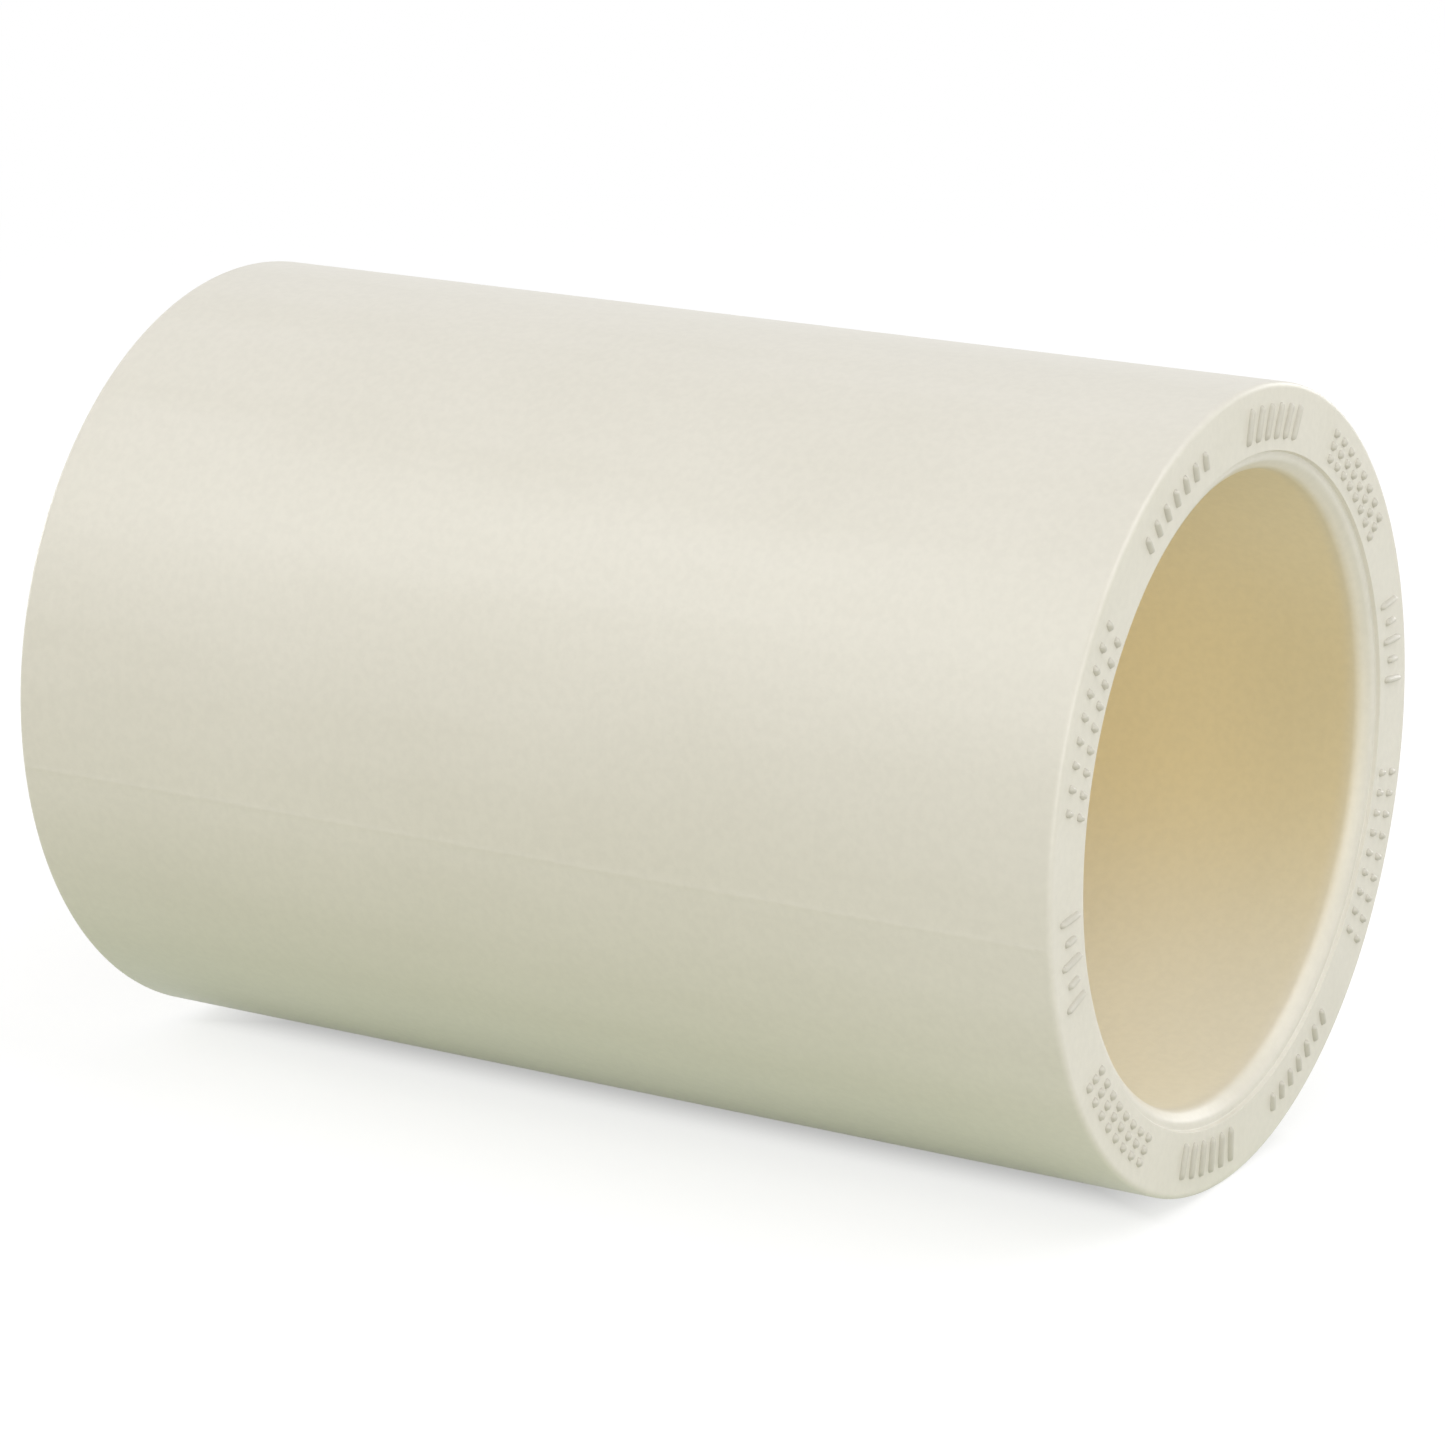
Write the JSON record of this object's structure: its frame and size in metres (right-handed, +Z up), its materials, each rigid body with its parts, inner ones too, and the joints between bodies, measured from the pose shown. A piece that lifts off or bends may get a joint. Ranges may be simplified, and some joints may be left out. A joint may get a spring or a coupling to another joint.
{
  "type": "reducing coupling",
  "caption": "Cream plastic solvent-weld pipe coupling with a plain cylindrical outside, a tapered pipe socket at one end and a flush reducing bushing in the other.",
  "frame": {"origin": "middle of the pipe axis, halfway between the two rims", "axes": "+X along the pipe axis towards the open large socket, +Z up as the fitting lies on its side"},
  "size_m": [0.042, 0.0286, 0.0286],
  "materials": {
    "body_plastic": "injection-moulded CPVC, cream, satin",
    "bushing_plastic": "injection-moulded CPVC, cream, satin"
  },
  "bodies": {
    "coupling_body": {"coupling_body": "body_plastic"},
    "reducing_bushing": {"reducing_bushing": "bushing_plastic"}
  },
  "joints": [
    {"name": "bushing_slide", "type": "slide", "parent": "coupling_body", "child": "reducing_bushing", "axis": [-1, 0, 0], "range_m": [0, 0.022]}
  ]
}
